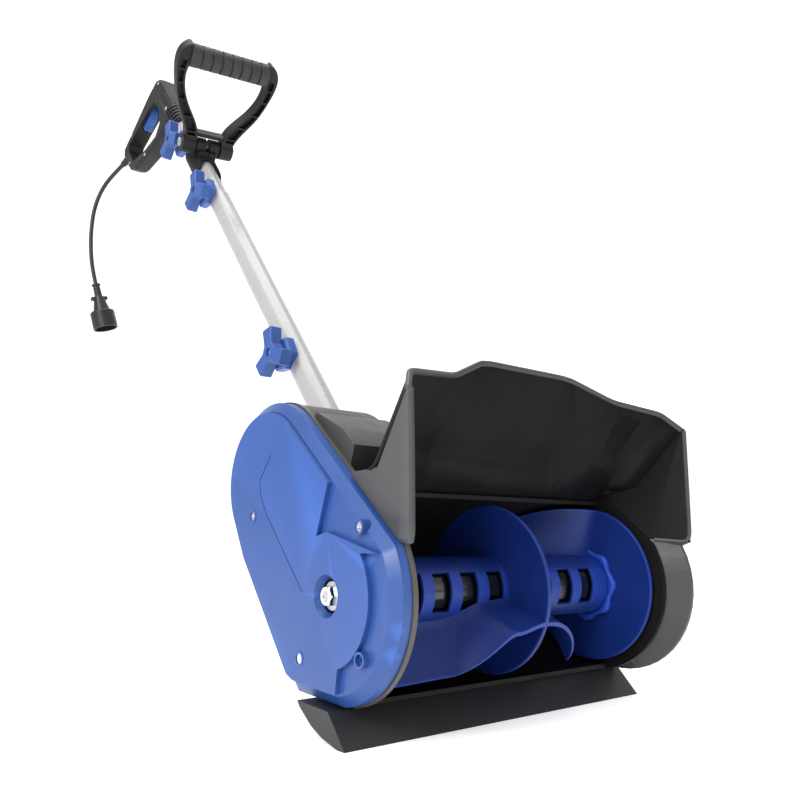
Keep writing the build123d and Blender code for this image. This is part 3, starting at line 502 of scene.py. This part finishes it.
def angle_on(path, x):
    """Paddle angle at x, easing between the path's (x, angle) stations."""
    for (x0, a0), (x1, a1) in zip(path, path[1:]):
        if x <= x1:
            break
    t = (x - x0) / (x1 - x0)
    return a0 + (a1 - a0) * t * t * (3.0 - 2.0 * t)


def tail_angle(x):
    return LEFT_PADDLE[-1][1] - TAIL_CURL * (x / TAIL) ** CURL_POWER


def around(x, radius, degrees):
    """A point round the axle: 0 degrees is the front, 90 is up."""
    turn = math.radians(degrees)
    return mm(x, -radius * math.cos(turn), radius * math.sin(turn))


def closed_grid(bm, near, far):
    """Two matching grids of points joined into one closed sheet."""
    top = [[bm.verts.new(p) for p in row] for row in near]
    low = [[bm.verts.new(p) for p in row] for row in far]
    n, m = len(top) - 1, len(top[0]) - 1
    for i in range(n):
        for j in range(m):
            bm.faces.new((top[i][j], top[i + 1][j], top[i + 1][j + 1], top[i][j + 1]))
            bm.faces.new((low[i][j], low[i][j + 1], low[i + 1][j + 1], low[i + 1][j]))
    for i in range(n):
        for j in (0, m):
            bm.faces.new((top[i][j], top[i + 1][j], low[i + 1][j], low[i][j]))
    for j in range(m):
        for i in (0, n):
            bm.faces.new((top[i][j], top[i][j + 1], low[i][j + 1], low[i][j]))


def add_paddle(bm, x_from, x_to, angle_at, inner, steps=60, rows=12):
    """A curved paddle with a thicker outer edge and a fillet towards the tube."""
    near, far = [], []
    for i in range(steps + 1):
        x = x_from + (x_to - x_from) * i / steps
        upper, lower = [], []
        for j in range(rows + 1):
            radius = inner + (REACH - inner) * j / rows
            rim = max(0.0, 1.0 - (REACH - radius) / RIM_DEPTH)
            root = max(0.0, 1.0 - (radius - inner) / ROOT_DEPTH)
            half = math.degrees((PADDLE_HALF + RIM_ADDS * rim + ROOT_ADDS * root * root) / radius)
            middle = angle_at(x)
            upper.append(around(x, radius, middle + half))
            lower.append(around(x, radius, middle - half))
        near.append(upper)
        far.append(lower)
    closed_grid(bm, near, far)


def add_disc(bm, x):
    """End or middle disc with a slightly thicker rounded rim."""
    bore = CAGE_OUT - 1.0
    upper = [(bore, DISC_HALF), (30.0, DISC_HALF), (REACH - 3.0, DISC_HALF),
             (REACH - 2.2, DISC_RIM), (REACH - 0.6, DISC_RIM), (REACH, 1.2)]
    lower = [(radius, -height) for radius, height in reversed(upper)]
    profile = [(bore, 0.0), *upper, *lower, (bore, 0.0)]
    lathe(bm, [(r / 1000.0, h / 1000.0) for r, h in profile], mm(x, 0.0, 0.0), SIDEWAYS, 128)


def add_cage(bm, x_from, x_to, side):
    """Tube round the core with a pair of windows at each pitch."""
    windows = [side * PITCH * (i + 0.5) for i in range(WINDOWS)]
    stops = sorted({x_from, x_to} | {x + e for x in windows for e in (-WINDOW_HALF, WINDOW_HALF)})
    stops = [x for x in stops if x_from <= x <= x_to]
    fan = [-WINDOW_ANGLE + 2.0 * WINDOW_ANGLE * k / FAN_STEPS for k in range(FAN_STEPS + 1)]
    gap = [WINDOW_ANGLE + (180.0 - 2.0 * WINDOW_ANGLE) * k / GAP_STEPS for k in range(1, GAP_STEPS)]
    angles = fan + gap + [180.0 + a for a in fan] + [180.0 + a for a in gap]
    count = len(angles)
    skins = [[[bm.verts.new(around(x, radius, a)) for a in angles] for x in stops]
             for radius in (CAGE_OUT, CAGE_IN)]

    def solid(i, k):
        if not 0 <= i < len(stops) - 1:
            return False
        middle = (stops[i] + stops[i + 1]) / 2.0
        open_x = any(abs(middle - x) < WINDOW_HALF for x in windows)
        return not (open_x and (k % count) % (count // 2) < FAN_STEPS)

    for i in range(len(stops) - 1):
        for k in range(count):
            if not solid(i, k):
                continue
            n = (k + 1) % count
            for skin in skins:
                bm.faces.new((skin[i][k], skin[i][n], skin[i + 1][n], skin[i + 1][k]))
            for other, (a, b) in (((i - 1, k), ((i, k), (i, n))), ((i + 1, k), ((i + 1, k), (i + 1, n))),
                                  ((i, k - 1), ((i, k), (i + 1, k))), ((i, k + 1), ((i, n), (i + 1, n)))):
                if not solid(*other):
                    bm.faces.new((skins[0][a[0]][a[1]], skins[0][b[0]][b[1]],
                                  skins[1][b[0]][b[1]], skins[1][a[0]][a[1]]))


def finish_moulding(piece, radius, degrees):
    """Rounded edges and clean shading on a moulded piece."""
    edge = piece.modifiers.new("edge", "BEVEL")
    edge.width = radius / 1000.0
    edge.segments = 2
    edge.limit_method = "ANGLE"
    edge.angle_limit = math.radians(degrees)
    edge.harden_normals = True


def auger_piece(name, bm, radius, degrees=40.0):
    """A blue moulding that turns with the auger, with rounded edges."""
    piece = new_piece(name, bm, "auger_blue", "auger")
    finish_moulding(piece, radius, degrees)
    return piece


def make_auger():
    """Both halves of the auger: tube with windows, discs, curved paddles and the curling tail."""
    left = bmesh.new()
    add_cage(left, -DISC_AT, 0.0, -1.0)
    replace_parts(auger_piece("auger_left", left, 0.5), "auger_left_half")
    right = bmesh.new()
    add_cage(right, DISC_HALF + 0.1, DISC_AT, 1.0)
    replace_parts(auger_piece("auger_right", right, 0.5), "auger_right_half")
    for name, x in (("left", -DISC_AT), ("middle", 0.0), ("right", DISC_AT)):
        disc = bmesh.new()
        add_disc(disc, x)
        auger_piece("auger_disc_" + name, disc, 0.3)
    paddles = [("left", -DISC_AT, -DISC_HALF + 0.4, lambda x: angle_on(LEFT_PADDLE, x), CAGE_OUT - 0.5),
               ("right", DISC_HALF - 0.4, DISC_AT, lambda x: angle_on(RIGHT_PADDLE, x), CAGE_OUT - 0.5),
               ("tail", 0.0, TAIL, tail_angle, CAGE_OUT + 0.6)]
    for name, x_from, x_to, angle_at, inner in paddles:
        paddle = bmesh.new()
        add_paddle(paddle, x_from, x_to, angle_at, inner)
        auger_piece("auger_paddle_" + name, paddle, 0.4, 50.0)


# The lobed hub rings, in metres: place, mean radius, lobe depth, bore, softened edge and levels.
HUB_AT, HUB_REACH, LOBE_DEPTH, HUB_BORE, HUB_EDGE = 0.1362, 0.0325, 0.0016, 0.0272, 0.0012
HUB_LEVELS = (0.0, 0.0035, 0.005)


def make_hub_rings():
    """Lobed flange that joins the auger's tube to each end disc."""
    for side, name in ((-1.0, "left"), (1.0, "right")):
        bm = bmesh.new()
        lobes, sides = 8, 96
        outer, inner = [], []
        for level in HUB_LEVELS:
            shrink = HUB_EDGE if level == HUB_LEVELS[-1] else 0.0
            ring_out, ring_in = [], []
            for k in range(sides):
                turn = 2.0 * math.pi * k / sides
                reach = HUB_REACH + LOBE_DEPTH * math.cos(lobes * turn) - shrink
                base = AXLE + SIDEWAYS * side * (HUB_AT - level)
                ray = Vector((0.0, math.cos(turn), math.sin(turn)))
                ring_out.append(bm.verts.new(base + ray * reach))
                ring_in.append(bm.verts.new(base + ray * HUB_BORE))
            outer.append(ring_out)
            inner.append(ring_in)
        for ring in (outer, inner):
            for a, b in zip(ring, ring[1:]):
                for k in range(sides):
                    bm.faces.new((a[k], a[(k + 1) % sides], b[(k + 1) % sides], b[k]))
        for a, b in ((outer[0], inner[0]), (outer[-1], inner[-1])):
            for k in range(sides):
                bm.faces.new((a[k], a[(k + 1) % sides], b[(k + 1) % sides], b[k]))
        new_piece("hub_ring_" + name, bm, "auger_blue", "auger")


# Screws in the rear handle's left shell as (s, n) on the tube, the first in its neck, and the face of
# each part, in millimetres. Half a pan head with a round recess, as (radius, height) in metres.
SHELL_SCREWS = [(752.0, 0.0), (846.0, 5.0), (884.0, -120.0), (842.0, -157.0), (784.0, -106.0)]
NECK_FACE, LOOP_FACE = -18.0, -13.2
PAN_HEAD = [(0.0, -0.001), (0.0030, -0.001), (0.0030, 0.0006), (0.0025, 0.0012),
            (0.0012, 0.0015), (0.0011, 0.0002), (0.0, 0.0002)]


def make_shell_screws():
    """Pan-head screws in the rear handle's left shell, each with a round recess."""
    for i, (s, n) in enumerate(SHELL_SCREWS):
        bm = bmesh.new()
        face = on_tube(s, n, LOOP_FACE if i else NECK_FACE)
        lathe(bm, PAN_HEAD, face, -SIDEWAYS, 24)
        new_piece("shell_screw_%d" % (i + 1), bm, "zinc", "upper_shaft")


# Rings on the cord's sleeve, in metres: the first one's place, their step, radius and taper,
# the radius inside the sleeve where they start, half their width and how far their crest stands out.
RIBS = 5
RIB_FIRST, RIB_STEP, RIB_RADIUS, RIB_TAPER = 0.003, 0.0042, 0.0078, 0.00042
RIB_ROOT, RIB_HALF, RIB_CREST = 0.004, 0.0008, 0.0002


def make_relief_ribs():
    """Rings round the cord's tapered sleeve."""
    way = (mm(*CORD_POINTS[1]) - mm(*CORD_POINTS[0])).normalized()
    bm = bmesh.new()
    for k in range(RIBS):
        radius = RIB_RADIUS - RIB_TAPER * k
        profile = [(RIB_ROOT, -RIB_HALF), (radius, -RIB_HALF), (radius + RIB_CREST, 0.0),
                   (radius, RIB_HALF), (RIB_ROOT, RIB_HALF)]
        lathe(bm, profile, mm(*CORD_POINTS[0]) + way * (RIB_FIRST + RIB_STEP * k), way, 28)
    new_piece("relief_ribs", bm, "cord_rubber", "upper_shaft")


make_hood()
make_cheek_edges()
make_auger()
make_hub_rings()
make_shell_screws()
make_relief_ribs()

# ---------- stage ----------

# The floor from its near to its far edge, its half width, the curve behind it and the wall's top, in metres.
FLOOR_NEAR, FLOOR_FAR, FLOOR_HALF = -6.0, 5.0, 9.0
CURVE_RADIUS, CURVE_STEPS, WALL_TOP = 2.0, 12, 9.0
FLOOR_TURN = -39.0
FLOOR_GLOW, WORLD_GLOW = 0.45, 0.55


def make_floor():
    """A pale floor that curves up into a backdrop far behind the object."""
    bm = bmesh.new()
    profile = [(FLOOR_NEAR, 0.0), (FLOOR_FAR, 0.0)]
    for i in range(1, CURVE_STEPS + 1):
        a = math.radians(90.0 * i / CURVE_STEPS)
        profile.append((FLOOR_FAR + CURVE_RADIUS * math.sin(a), CURVE_RADIUS - CURVE_RADIUS * math.cos(a)))
    profile.append((FLOOR_FAR + CURVE_RADIUS, WALL_TOP))
    rows = []
    for y, z in profile:
        rows.append([bm.verts.new((x, y, z)) for x in (-FLOOR_HALF, FLOOR_HALF)])
    for a, b in zip(rows, rows[1:]):
        bm.faces.new((a[0], a[1], b[1], b[0]))
    mesh = bpy.data.meshes.new("floor")
    bm.to_mesh(mesh)
    bm.free()
    for face in mesh.polygons:
        face.use_smooth = True
    floor = bpy.data.objects.new("floor", mesh)
    floor.rotation_euler = (0.0, 0.0, math.radians(FLOOR_TURN))
    bpy.context.scene.collection.objects.link(floor)
    mat, tree, bsdf = shader("floor_pale")
    tree.links.new(ramp(tree, noise(tree, 3.0, 3.0), (0.88, 0.88, 0.88, 1.0), (0.90, 0.90, 0.90, 1.0)),
                   bsdf.inputs["Base Color"])
    bsdf.inputs["Roughness"].default_value = 0.75
    bsdf.inputs["Specular IOR Level"].default_value = 0.2
    bsdf.inputs["Emission Color"].default_value = (1.0, 1.0, 1.0, 1.0)
    bsdf.inputs["Emission Strength"].default_value = FLOOR_GLOW
    floor.data.materials.append(mat)


def area_light(name, place, aim, size, power):
    """A white rectangular light at place, turned to aim, with its power in watts."""
    data = bpy.data.lights.new(name, "AREA")
    data.shape = "RECTANGLE"
    data.size, data.size_y = size
    data.energy = power
    light = bpy.data.objects.new(name, data)
    light.location = place
    light.rotation_euler = (Vector(aim) - Vector(place)).to_track_quat("-Z", "Y").to_euler()
    bpy.context.scene.collection.objects.link(light)


def make_light():
    world = bpy.data.worlds.new("studio")
    bpy.context.scene.world = world
    world.use_nodes = True
    world.node_tree.nodes["Background"].inputs["Color"].default_value = (1.0, 1.0, 1.0, 1.0)
    world.node_tree.nodes["Background"].inputs["Strength"].default_value = WORLD_GLOW
    area_light("key", (-3.0, -0.9, 2.2), (0.0, 0.2, 0.3), (1.6, 1.6), 105.0)
    area_light("fill", (1.4, -2.6, 1.0), (0.0, 0.0, 0.1), (1.6, 1.2), 5.0)
    area_light("top", (-0.2, 0.5, 3.0), (0.0, 0.3, 0.3), (2.2, 2.2), 50.0)
    bpy.context.scene.view_settings.view_transform = "Standard"


make_floor()
make_light()
